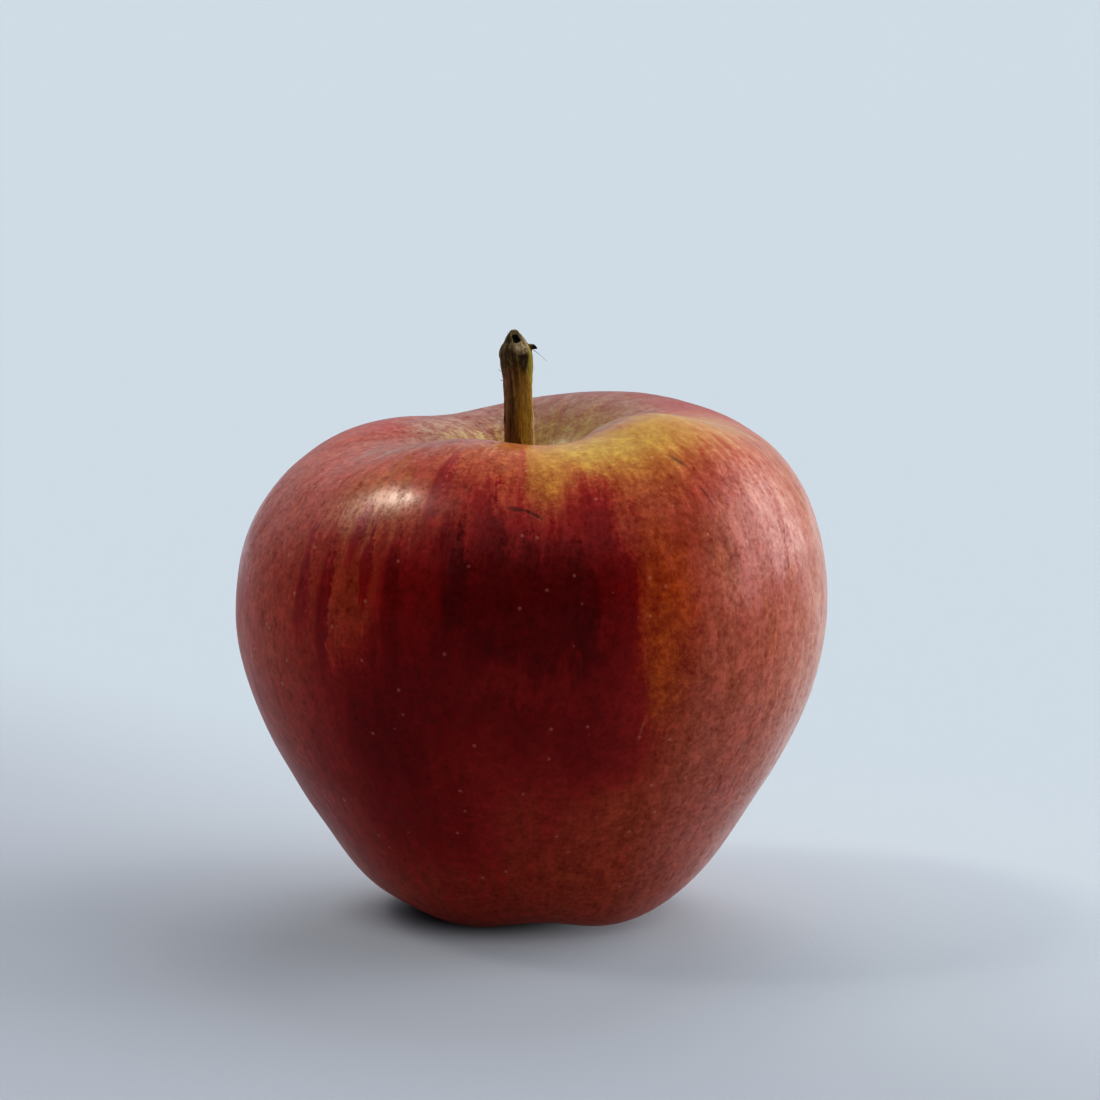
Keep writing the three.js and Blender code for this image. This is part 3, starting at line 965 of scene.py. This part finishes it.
# The golden ground and the brown patches are partly painted light and shade; the beige band at 80
# degrees round is partly painted sheen.
BARK_PATCHES = [  # degrees round, height, half width, half height, lean, softness, colour, strength
    (-75, 63, 52, 30, 0, 0.35, BARK_BROWN, 0.95),
    (150, 60, 45, 30, 0, 0.50, BARK_BROWN, 0.85),
    (-38, 55.5, 48, 5.0, 0, 0.35, RED_BROWN, 0.90),
    (95, 54, 40, 4.0, 0, 0.40, RED_BROWN, 0.60),
    (16, 58.6, 16, 3.4, 0, 0.50, (0.50, 0.32, 0.055), 0.80),
    (80, 58, 22, 4.4, 0, 0.30, (0.60, 0.40, 0.22), 0.80),
    (-28, 63, 5.5, 3.6, 0, 0.50, CREVICE_SHADE, 0.75),
    (-40, 60.2, 9, 1.2, 40, 0.50, CREVICE_SHADE, 0.55),
    (30, 63.4, 6, 2.4, 0, 0.50, (0.22, 0.14, 0.03), 0.60),
    (-84, 60.2, 14, 0.7, 0, 0.50, CREVICE_SHADE, 0.80),
]
wood = lay(bark.blend, GOLDEN, bark_chart, BARK_PATCHES)
knob = bark.step(bz + lumps * 3 + long_streaks * 4, 64.6, 67.4)
knob_color = bark.blend(bark.step(lumps + dust * 0.5, -0.02, 0.20), KNOB_BROWN, KNOB_PALE)
wood = bark.blend(knob * 0.9, wood, knob_color)
# The beige band at 82 degrees round, on the knob's right-hand side, is partly painted sheen.
KNOB_PATCHES = [
    (56, 66.4, 11, 2.6, 0, 0.40, (0.42, 0.38, 0.08), 0.85),
    (82, 66.9, 12, 0.9, 0, 0.50, (0.45, 0.27, 0.20), 0.70),
    (28, 67.2, 15, 1.4, 0, 0.50, CREVICE_SHADE, 0.75),
    (-5, 65.6, 9, 2.2, 0, 0.50, (0.10, 0.05, 0.035), 0.60),
]
wood = lay(bark.blend, wood, bark_chart, KNOB_PATCHES)

# %% The stalk: scar, bud tip, fine streaks and relief
scar_depth = bark.along(bark_place, SCAR_FACING) - SCAR_POINT.dot(SCAR_FACING) / MM
scar_share = bark.step(scar_depth, -0.30, -0.12) * (lumps * 1.6 + 0.75) * bark.step(bx, -2.5, -1.7)
wood = bark.blend(scar_share.most(0).least(1), wood, PALE_WOOD)
slot_distance = bark.wire("ShaderNodeVectorMath", {"operation": "DISTANCE"}, {
    0: bark_place, 1: SLOT_PLACE / MM,
}, output="Value")
# Painted shade inside the slot.
slot_shade_share = bark.step(scar_depth, -0.12, -0.30) * bark.step(slot_distance, 1.0, 0.75)
wood = bark.blend(slot_shade_share, wood, SLOT_SHADE)
bud_share = bark.step(bx, 0.15, 0.42) * bark.step(bz, 68.0, 68.4)
wood = bark.blend(bud_share, wood, BUD_BLACK)
wood = bark.blend(bark.step(wood_grain, -0.02, -0.16) * 0.55, wood, GRAIN_SHADE, "MULTIPLY")
wood = bark.blend(bark.step(wood_grain, 0.04, 0.20) * 0.30, wood, PALE_WOOD)
wood = bark.blend(bark.step(dust, 0.02, -0.20) * 0.45, wood, DUST_SHADE, "MULTIPLY")
bark_normal = bark.bump(wood_grain + lumps * 0.8 + dust * 0.5, distance=0.10 * MM)
dress(stalk, bark.shade(
    base_color=wood, roughness=0.72 + dust * 0.3, specular_ior_level=0.3, normal=bark_normal
))
print("bark nodes:", len(bark.tree.nodes))

# %% [markdown]
# A dried sepal is a papery leaf: brown-grey, darker at its tip and in its creases, with fine veins
# along it and a pale felt of hairs that catches light on the ridges. The stamens between them have
# dried almost black, and their anthers are a little paler and dusty.

# %% The sepals: veins, felt and dark tips
leaf = Finish("dry_sepal")
leaf_place = leaf.place()
lx, ly, lz = leaf.parts(leaf_place)
leaf_reach = (lx * lx + ly * ly).power(0.5).most(0.01)
vein_space = leaf.vector(lx / leaf_reach * 14, ly / leaf_reach * 14, lz * 0.25 + leaf_reach * 0.2)
veins = leaf.noise(vein_space, scale=1.0, detail=3.0, roughness=0.6)
felt = leaf.noise(leaf_place, scale=5.0, detail=3.0, roughness=0.7)
creases = leaf.noise(leaf_place, scale=1.1, detail=2.0)
LEAF_BROWN = (0.17, 0.11, 0.06)
LEAF_GREY = (0.33, 0.27, 0.19)
LEAF_DARK = (0.05, 0.032, 0.02)
FELT_COLOR = (0.48, 0.41, 0.30)
leaf_color = leaf.blend(leaf.step(veins + creases * 0.6, -0.10, 0.14), LEAF_BROWN, LEAF_GREY)
tip = leaf.step(lz + creases * 2, 3.2, 1.6)
leaf_color = leaf.blend(tip * 0.75, leaf_color, LEAF_DARK)
leaf_color = leaf.blend(leaf.step(creases, 0.0, -0.22) * 0.6, leaf_color, LEAF_DARK)
leaf_color = leaf.blend(leaf.step(felt, 0.02, 0.20) * 0.45, leaf_color, FELT_COLOR)
leaf_normal = leaf.bump(veins + felt * 0.6, distance=0.10 * MM)
dry_leaf = leaf.shade(
    base_color=leaf_color, roughness=0.85 + felt * 0.2, specular_ior_level=0.2, normal=leaf_normal
)
for copy in sepals:
    dress(copy, dry_leaf)

# %% The stamens: dark threads with dusty anthers
thread_finish = Finish("dry_stamen")
thread_place = thread_finish.place()
thread_height = thread_finish.parts(thread_place)[2]
pollen = thread_finish.noise(thread_place, scale=6.0, detail=3.0, roughness=0.7)
fading = thread_finish.noise(thread_place, scale=1.4, detail=2.0)
THREAD_BLACK = (0.045, 0.026, 0.014)
THREAD_BROWN = (0.12, 0.072, 0.036)
ANTHER_BROWN = (0.11, 0.065, 0.03)
ANTHER_DUST = (0.30, 0.20, 0.10)
faded = thread_finish.step(fading, -0.12, 0.14)
thread_color = thread_finish.blend(faded, THREAD_BLACK, THREAD_BROWN)
anther = thread_finish.step(thread_height, 5.5, 5.2)
dusty = thread_finish.blend(thread_finish.step(pollen, -0.1, 0.15), ANTHER_BROWN, ANTHER_DUST)
thread_color = thread_finish.blend(anther, thread_color, dusty)
thread_normal = thread_finish.bump(pollen, distance=0.08 * MM)
dress(tuft, thread_finish.shade(
    base_color=thread_color, roughness=0.85 + pollen * 0.2, specular_ior_level=0.2,
    normal=thread_normal,
))

# %% [markdown]
# The apple stands on a wide sheet of pale paper. The paper has a fine tooth, and it grows a little
# greyer away from the right-hand window: painted falloff of that window's light. It also glows faintly
# all over, painted fill light that keeps the shadows soft, except right under the fruit, where leaving
# the glow out paints a contact shadow. It is only a stage.

# %% The floor: a sheet of paper
FLOOR_SIZE = 60
bpy.ops.object.select_all(action="DESELECT")
bpy.ops.mesh.primitive_plane_add(size=FLOOR_SIZE, location=(0, 0, 0))
floor = bpy.context.object
floor.name = "floor"
paper = Finish("pale_paper")
paper_place = paper.place()
paper_x, paper_y = paper.parts(paper_place)[:2]
# Painted shade: the paper darkens away from the right-hand window, a falloff of its light.
from_window = paper.step(paper_y + paper_x * 1.2, 100, -80)
tooth = paper.noise(paper_place, scale=1.6, detail=3.0, roughness=0.6)
LIT_PAPER = (0.335, 0.375, 0.412)
FALLOFF_SHADED_PAPER = (0.232, 0.246, 0.282)
TOOTH_COLOR = (0.20, 0.22, 0.24)
CONTACT_SHADOW_NO_GLOW = (0.0, 0.0, 0.0)
PAINTED_FILL_GLOW = (0.93, 1.0, 1.08)
sheet = paper.blend(from_window, LIT_PAPER, FALLOFF_SHADED_PAPER)
# The paper's glow is painted fill light; round the fruit's foot it is left out, which paints a contact
# shadow.
shade_x, shade_y = paper_x + 6, paper_y + 2
shade_distance = (shade_x * shade_x + shade_y * shade_y).power(0.5)
glow_outside_contact_shadow = paper.step(shade_distance, 6, 20)
painted_fill_glow_color = paper.blend(glow_outside_contact_shadow, CONTACT_SHADOW_NO_GLOW, PAINTED_FILL_GLOW)
sheet = paper.blend(paper.step(tooth, -0.2, 0.2) * 0.05, sheet, TOOTH_COLOR)
paper_normal = paper.bump(tooth, distance=0.05 * MM, strength=0.5)
dress(floor, paper.shade(
    base_color=sheet, roughness=0.9, specular_ior_level=0.1, normal=paper_normal,
    emission_color=painted_fill_glow_color, emission_strength=0.135,
))

# %% [markdown]
# Six soft suns stand for a studio's boxes and windows. Only the two small warm ones at the left
# show in the gloss: together they make the one crisp highlight. The others are hidden from gloss,
# and what the skin mirrors instead comes from the world, where soft-edged windows can be drawn.

# %% The lamps
BOX_LIGHT = (1.0, 0.93, 0.80)
WINDOW_LIGHT = (1.0, 0.98, 0.96)
SKY_LIGHT = (0.91, 0.97, 0.97)
LAMPS = {  # azimuth, height and width in degrees, strength, whether it shows in gloss, colour
    "left_box": (-96, 56, 9, 0.36, True, BOX_LIGHT),
    "left_box_edge": (-108, 49, 13, 0.18, True, BOX_LIGHT),
    "right_high_window": (85, 48, 44, 0.60, False, WINDOW_LIGHT),
    "right_back_window": (116, 30, 40, 0.90, False, WINDOW_LIGHT),
    "back_left_window": (-145, 43, 50, 0.25, False, WINDOW_LIGHT),
    "back_top_window": (166, 46, 34, 1.05, False, SKY_LIGHT),
}
for name, (azimuth, height, width, strength, glossy, color) in LAMPS.items():
    bpy.ops.object.light_add(type="SUN")
    lamp = bpy.context.object
    lamp.name = lamp.data.name = name
    lamp.data.angle = math.radians(width)
    lamp.data.energy = strength
    lamp.data.color = color
    lamp.visible_glossy = glossy
    round_axis, above_floor = math.radians(azimuth), math.radians(height)
    level = math.cos(above_floor)
    towards = Vector((
        math.sin(round_axis) * level, -math.cos(round_axis) * level, math.sin(above_floor)
    ))
    lamp.rotation_euler = towards.to_track_quat("Z", "Y").to_euler()

# %% [markdown]
# The world is the rest of the room. Its light depends on the direction: dark in front, bright
# behind and above, and two windows with soft edges. The camera sees plain pale air instead, and
# gloss sees its own version, so that reflections can be balanced apart from the light.

# %% The world round the apple
world = bpy.data.worlds.new("studio")
bpy.context.scene.world = world
world.use_nodes = True
world.node_tree.nodes.clear()


class Surroundings(Finish):
    """The world's node tree, which is there already."""

    def __init__(self, tree):
        self.tree = tree


air = Surroundings(world.node_tree)
direction = air.wire("ShaderNodeTexCoord", output="Generated")
east, north, up = air.parts(direction)
round_about = east.angle(-north)
tall = up.math("ARCSINE", up) * (180 / math.pi)
behind = air.step(north, -0.30, 0.60)
above = air.step(up, 0.2, 0.95)
FRONT_LIGHT, BACK_LIGHT, TOP_LIGHT = (0.02, 0.021, 0.024), (0.46, 0.48, 0.52), (0.28, 0.29, 0.31)
FRONT_GLOSS, BACK_GLOSS, TOP_GLOSS = (0.0, 0.0, 0.0), (0.40, 0.42, 0.45), (0.30, 0.31, 0.32)
LOW_GLOSS = (0.05, 0.05, 0.05)
SEEN_AIR = (0.44, 0.49, 0.55)
glow = air.blend(behind, FRONT_LIGHT, BACK_LIGHT)
glow = air.blend(above, glow, TOP_LIGHT)
in_gloss = air.wire("ShaderNodeLightPath", output="Is Glossy Ray")
mirrored = air.blend(behind, FRONT_GLOSS, BACK_GLOSS)
mirrored = air.blend(air.step(tall, 30, 0) * 0.4, mirrored, LOW_GLOSS)
mirrored = air.blend(above, mirrored, TOP_GLOSS)
glow = air.blend(in_gloss, glow, mirrored)
WINDOWS = [  # edges round about, edges in height, light it gives, light it shows in gloss
    ((60, 104), (148, 110), (-14, 0), (54, 14), (1.7, 1.67, 1.64), (2.3, 2.40, 2.40)),
    ((-136, -114), (-78, -94), (28, 44), (62, 50), (0.8, 0.77, 0.72), (2.1, 2.00, 1.85)),
]
for left, right, low, high, given, shown in WINDOWS:
    window = air.step(round_about, *left) * air.step(round_about, *right)
    window = window * air.step(tall, *low) * air.step(tall, *high)
    glow = air.blend(window, glow, given)
    glow = air.blend(window * in_gloss, glow, shown)
seen = air.wire("ShaderNodeLightPath", output="Is Camera Ray")
air_color = air.blend(seen, glow, SEEN_AIR)
surface = air.wire("ShaderNodeBackground", inputs={"Color": air_color, "Strength": 1.0})
air.node("ShaderNodeOutputWorld", inputs={"Surface": surface})

# %% [markdown]
# The camera looks a little down on the apple through a long lens, which hardly bends its outline.

# %% The camera
CAMERA_PLACE = Vector((0, -492.4, 116.8)) * MM
CAMERA_TARGET = Vector((2.28, 0, 44.0)) * MM
CAMERA_LENS, CAMERA_SENSOR = 134.8, 36
CAMERA_NEAR, CAMERA_FAR = 0.01, 100
bpy.ops.object.camera_add(location=CAMERA_PLACE)
camera = bpy.context.object
camera.data.lens = CAMERA_LENS
camera.data.sensor_width = CAMERA_SENSOR
camera.data.clip_start = CAMERA_NEAR
camera.data.clip_end = CAMERA_FAR
camera.rotation_euler = (CAMERA_TARGET - CAMERA_PLACE).to_track_quat("-Z", "Y").to_euler()
bpy.context.scene.camera = camera
bpy.context.scene.view_settings.view_transform = "Standard"
bpy.context.scene.view_settings.look = "High Contrast"
